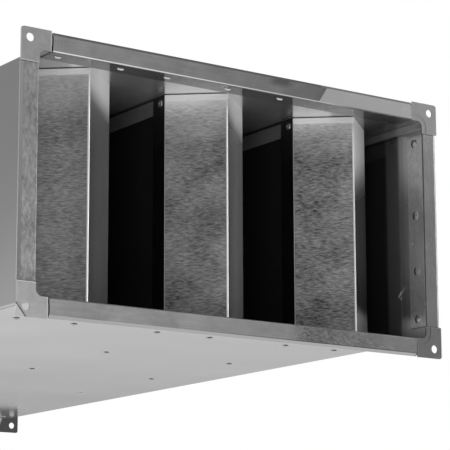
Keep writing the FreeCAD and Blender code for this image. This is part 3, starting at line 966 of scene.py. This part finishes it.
def studio():
    """Light from all round: a white table below, a dim room above it, darker behind the camera."""
    world = bpy.data.worlds.new("studio")
    scene.world = world
    world.use_nodes = True
    tree = world.node_tree
    tree.nodes.clear()

    def join(kind, first, second):
        node = tree.nodes.new("ShaderNodeMath")
        node.operation = kind
        tree.links.new(first, node.inputs[0])
        tree.links.new(second, node.inputs[1])
        return node.outputs[0]

    def span(value, low, high, to_low, to_high, smooth=False):
        node = tree.nodes.new("ShaderNodeMapRange")
        node.interpolation_type = "SMOOTHSTEP" if smooth else "LINEAR"
        tree.links.new(value, node.inputs["Value"])
        for socket, number in zip(node.inputs[1:5], (low, high, to_low, to_high)):
            if isinstance(number, bpy.types.NodeSocket):
                tree.links.new(number, socket)
            else:
                socket.default_value = number
        return node.outputs[0]

    coord = tree.nodes.new("ShaderNodeTexCoord").outputs["Generated"]
    axes = tree.nodes.new("ShaderNodeSeparateXYZ")
    tree.links.new(coord, axes.inputs[0])
    along, rise = axes.outputs[1], axes.outputs[2]

    def near(turn, lift):
        """Cosine of the angle from the direction of a turn and a lift."""
        turn, lift = math.radians(turn), math.radians(lift)
        node = tree.nodes.new("ShaderNodeVectorMath")
        node.operation = "DOT_PRODUCT"
        tree.links.new(coord, node.inputs[0])
        node.inputs[1].default_value = (math.sin(turn) * math.cos(lift), -math.cos(turn) * math.cos(lift),
                                        math.sin(lift))
        return node.outputs["Value"]

    def patch(outside, turn, lift, outer, inner, inside):
        outer, inner = math.cos(math.radians(outer)), math.cos(math.radians(inner))
        return span(near(turn, lift), outer, inner, outside, inside, smooth=True)

    under = span(rise, *UNDER_RAMP)
    far_table = span(rise, *FAR_TABLE_RAMP)
    table = join("MULTIPLY", span(along, *TABLE_RANGE, NEAR_TABLE, far_table, smooth=True), under)
    room = span(rise, *ROOM_RAMP, smooth=True)
    room = join("MINIMUM", room, span(rise, *ROOM_LIMIT_RAMP))
    dim = span(rise, *DIM_RAMP)
    open_side = span(rise, *OPEN_SIDE_RANGE, table, room)
    camera_side = span(rise, *CAMERA_SIDE_RANGE, table, dim)
    level = span(near(CAMERA_SIDE_TURN, 0), *CAMERA_SIDE_SPREAD, open_side, camera_side, smooth=True)
    level = join("MULTIPLY", level, patch(1.0, *DARK_PATCH))
    for bright in BRIGHT_PATCHES:
        level = join("ADD", level, patch(0.0, *bright))

    soft = tree.nodes.new("ShaderNodeBackground")
    tree.links.new(level, soft.inputs["Color"])
    plain = tree.nodes.new("ShaderNodeBackground")
    plain.inputs["Color"].default_value = (1, 1, 1, 1)
    path = tree.nodes.new("ShaderNodeLightPath")
    mix = tree.nodes.new("ShaderNodeMixShader")
    out = tree.nodes.new("ShaderNodeOutputWorld")
    tree.links.new(path.outputs["Is Camera Ray"], mix.inputs[0])
    tree.links.new(soft.outputs[0], mix.inputs[1])
    tree.links.new(plain.outputs[0], mix.inputs[2])
    tree.links.new(mix.outputs[0], out.inputs[0])


def lamp(name, place, target, size, power):
    """Square area lamp that lights the part but isn't seen, also not in its reflections."""
    light = bpy.data.lights.new(name, "AREA")
    light.shape = "RECTANGLE"
    light.size = light.size_y = size
    light.energy = power
    obj = bpy.data.objects.new(name, light)
    scene.collection.objects.link(obj)
    obj.location = place
    obj.rotation_mode = "QUATERNION"
    obj.rotation_quaternion = (Vector(target) - Vector(place)).to_track_quat("-Z", "Y")
    obj.visible_camera = False
    obj.visible_glossy = False


floor()
studio()
lamp("overhead", place=(-0.3, 0.3, 2.6), target=(0, 0.4, 0), size=2.4, power=60)
lamp("fill", place=(-2.2, -2.6, 0.2), target=(0, 0.05, 0.05), size=1.2, power=16)

scene.view_settings.view_transform = "Standard"
scene.view_settings.look = "None"
scene.cycles.use_denoising = True
